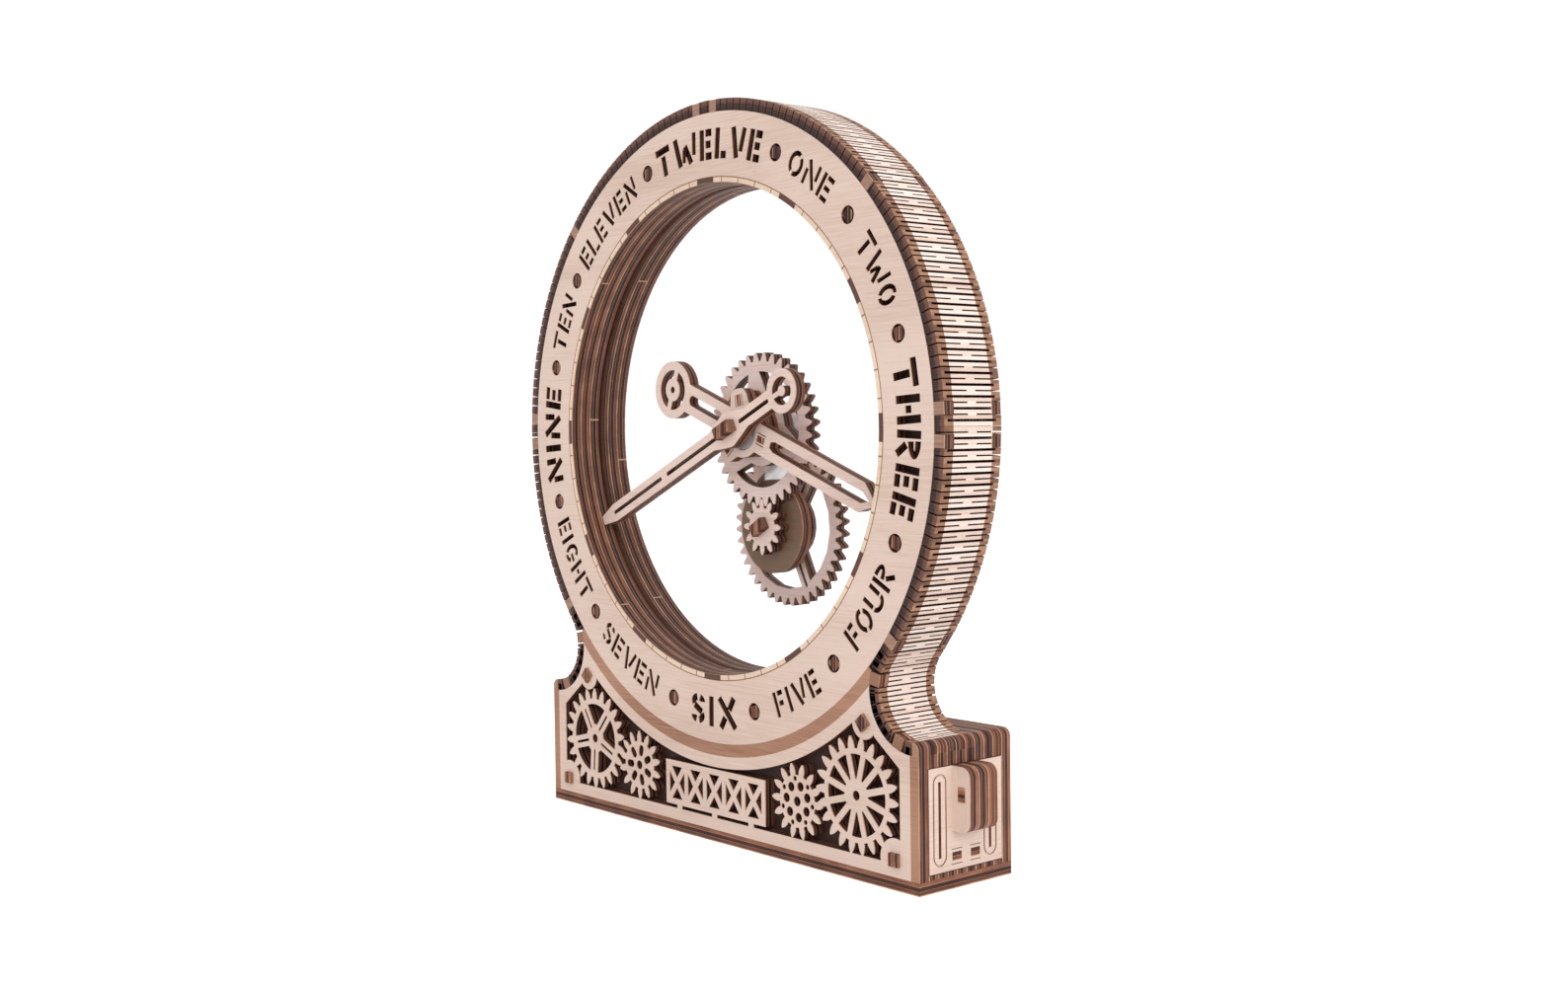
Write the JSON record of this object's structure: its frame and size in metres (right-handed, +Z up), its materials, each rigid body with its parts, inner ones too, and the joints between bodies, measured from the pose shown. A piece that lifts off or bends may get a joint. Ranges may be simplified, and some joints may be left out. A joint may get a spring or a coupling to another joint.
{
  "type": "gear clock",
  "caption": "Wooden table clock: open ring dial on a fretwork base, hands on a clear disc with an hour gear train behind, battery drawer in the side.",
  "frame": {"origin": "middle of the underside of the base", "axes": "+Z up, +Y from the dial towards the back, +X towards the drawer"},
  "size_m": [0.163, 0.0318, 0.185],
  "materials": {
    "ply_face": "satin, pale faces",
    "ply_brown": "matt, stained brown",
    "ply_middle": "matt, light brown",
    "scale_wood": "satin, light",
    "band_wood": "matt, slotted to bend",
    "gear_wood": "satin, burnt edges",
    "clear_sheet": "clear, polished",
    "steel": "bright",
    "gear_plastic": "moulded, ivory",
    "motor_case": "satin, dark",
    "board": "green",
    "cell_jacket": "satin, plain grey",
    "contact_brass": "bright"
  },
  "bodies": {
    "case": {"base_plate": "ply_brown", "front_fret": "ply_face", "fret_inlay": "ply_brown", "fret_back": "ply_brown", "base_sheet_3": "ply_middle", "base_sheet_4": "ply_middle", "base_sheets_5_6": "ply_middle", "base_sheets_7_9": "ply_middle", "back_plate": "ply_face", "fret_pegs": "ply_brown", "dial_ring": "ply_face", "minute_scale": "scale_wood", "hour_marks": "ply_brown", "ring_sheet_2": "ply_middle", "ring_sheet_3": "ply_middle", "ring_track": "ply_middle", "ring_sheet_5": "ply_middle", "ring_rear": "ply_face", "dial_pegs": "ply_brown", "band_upper_left": "band_wood", "band_upper_right": "band_wood", "band_lower_left": "band_wood", "band_lower_right": "band_wood", "hanging_link": "clear_sheet", "counterweight": "ply_brown", "idler_pin": "steel", "guide_pins": "steel", "motor_body": "motor_case", "driver_board": "board"},
    "disc": {"clear_disc": "clear_sheet", "disc_rim": "ply_middle", "clear_bushing": "clear_sheet", "main_arbor": "ply_brown", "minute_hand": "ply_face", "arbor_collar": "ply_middle", "rear_pinion": "gear_wood", "rear_washer": "ply_middle"},
    "hour": {"hour_hand": "ply_face", "hour_spacer": "ply_brown", "hour_wheel": "gear_wood", "hour_pegs": "ply_brown"},
    "lower": {"lower_arbor": "ply_brown", "front_pinion": "gear_wood", "large_gear": "gear_wood", "lower_washer": "ply_middle"},
    "idler": {"idler_gear": "gear_plastic"},
    "guide_right": {"guide_gear_right": "gear_plastic"},
    "guide_left": {"guide_gear_left": "gear_plastic"},
    "drive": {"drive_arbor": "steel", "drive_pinion": "gear_plastic", "setting_knob": "ply_brown"},
    "drawer": {"drawer_panel": "ply_face", "drawer_floor": "ply_middle", "drawer_walls": "ply_middle", "drawer_end": "ply_middle", "handle_cheeks": "ply_face", "handle_core": "ply_middle", "handle_pin": "ply_middle", "battery_cell": "cell_jacket", "cell_contacts": "contact_brass"}
  },
  "joints": [
    {"name": "disc_spin", "type": "hinge", "parent": "case", "child": "disc", "pos_m": [0, 0, 0.1035], "axis": [0, 1, 0], "continuous": true},
    {"name": "hour_spin", "type": "hinge", "parent": "case", "child": "hour", "pos_m": [0, 0, 0.1035], "axis": [0, 1, 0], "continuous": true},
    {"name": "lower_spin", "type": "hinge", "parent": "case", "child": "lower", "pos_m": [0, 0, 0.0785], "axis": [0, 1, 0], "continuous": true},
    {"name": "idler_spin", "type": "hinge", "parent": "case", "child": "idler", "pos_m": [0, 0, 0.0325], "axis": [0, 1, 0], "continuous": true},
    {"name": "drive_spin", "type": "hinge", "parent": "case", "child": "drive", "pos_m": [0, 0, 0.0205], "axis": [0, 1, 0], "continuous": true},
    {"name": "guide_right_spin", "type": "hinge", "parent": "case", "child": "guide_right", "pos_m": [0.06062, 0, 0.0685], "axis": [0, 1, 0], "continuous": true},
    {"name": "guide_left_spin", "type": "hinge", "parent": "case", "child": "guide_left", "pos_m": [-0.06062, 0, 0.0685], "axis": [0, 1, 0], "continuous": true},
    {"name": "drawer_slide", "type": "slide", "parent": "case", "child": "drawer", "axis": [1, 0, 0], "range_m": [0, 0.05]}
  ],
  "couplings": [
    {"joint": "hour_spin", "follows": "disc_spin", "ratio": 0.083333},
    {"joint": "lower_spin", "follows": "disc_spin", "ratio": -0.25},
    {"joint": "idler_spin", "follows": "disc_spin", "ratio": -10.833},
    {"joint": "drive_spin", "follows": "disc_spin", "ratio": 10.833},
    {"joint": "guide_right_spin", "follows": "disc_spin", "ratio": -13},
    {"joint": "guide_left_spin", "follows": "disc_spin", "ratio": -13}
  ]
}
